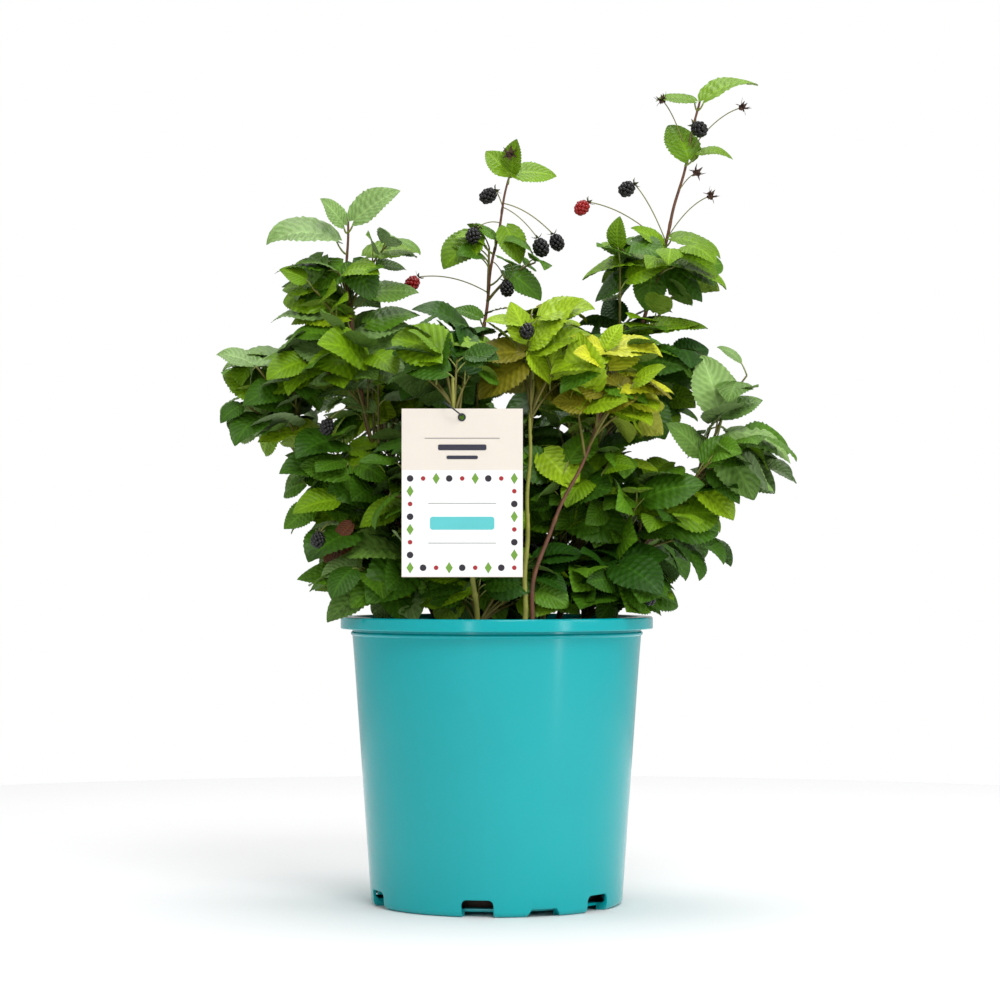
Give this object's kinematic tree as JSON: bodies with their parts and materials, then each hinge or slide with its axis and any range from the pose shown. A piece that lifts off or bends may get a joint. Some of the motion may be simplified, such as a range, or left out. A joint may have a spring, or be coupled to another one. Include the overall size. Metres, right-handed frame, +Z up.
{
  "type": "potted bramble",
  "caption": "Thornless bramble bush with arching canes, toothed leaves and ripening berries, growing in a round turquoise nursery pot with a hanging card label.",
  "frame": {"origin": "middle of the pot's flat foot, on its underside", "axes": "+Z up, -Y towards the front where the label hangs, +X to the right seen from the front"},
  "size_m": [0.44, 0.296, 0.639],
  "materials": {
    "pot": "satin",
    "potting_mix": "matte",
    "label": "satin",
    "tie": "matte",
    "canes": "matte",
    "leaves": "matte"
  },
  "bodies": {
    "root": {"pot": "pot", "potting_mix": "potting_mix", "plant_label": "label", "label_tie": "tie", "cane_left": "canes", "cane_far_left": "canes", "cane_centre": "canes", "cane_right": "canes", "cane_front_brown": "canes", "cane_front_green": "canes", "cane_low_right": "canes", "cane_behind_label": "canes", "cane_back_left": "canes", "cane_back_right": "canes", "cane_back": "canes", "leaves_left_tip": "leaves", "leaves_left_top": "leaves", "leaves_left_upper": "leaves", "leaves_left_middle": "leaves", "leaves_far_left": "leaves", "leaves_left_flank": "leaves", "leaves_left_foot": "leaves", "leaves_centre_tip": "leaves", "leaves_centre_side": "leaves", "leaves_centre_upper": "leaves", "leaves_centre_left": "leaves", "leaves_core": "leaves", "leaves_front_green": "leaves", "leaves_front_yellow": "leaves", "leaves_front_middle": "leaves", "leaves_right_tip": "leaves", "leaves_right_upper": "leaves", "leaves_right_collar": "leaves", "leaves_right_middle": "leaves", "leaves_far_right_tip": "leaves", "leaves_far_right": "leaves", "leaves_right_flank": "leaves", "leaves_right_foot": "leaves", "leaves_behind_label": "leaves", "leaves_above_label": "leaves", "leaves_front_foot": "leaves", "leaves_back_left": "leaves", "leaves_back_left_low": "leaves", "leaves_back_right": "leaves", "leaves_back_right_low": "leaves", "leaves_back": "leaves", "leaves_back_foot": "leaves"}
  },
  "joints": []
}
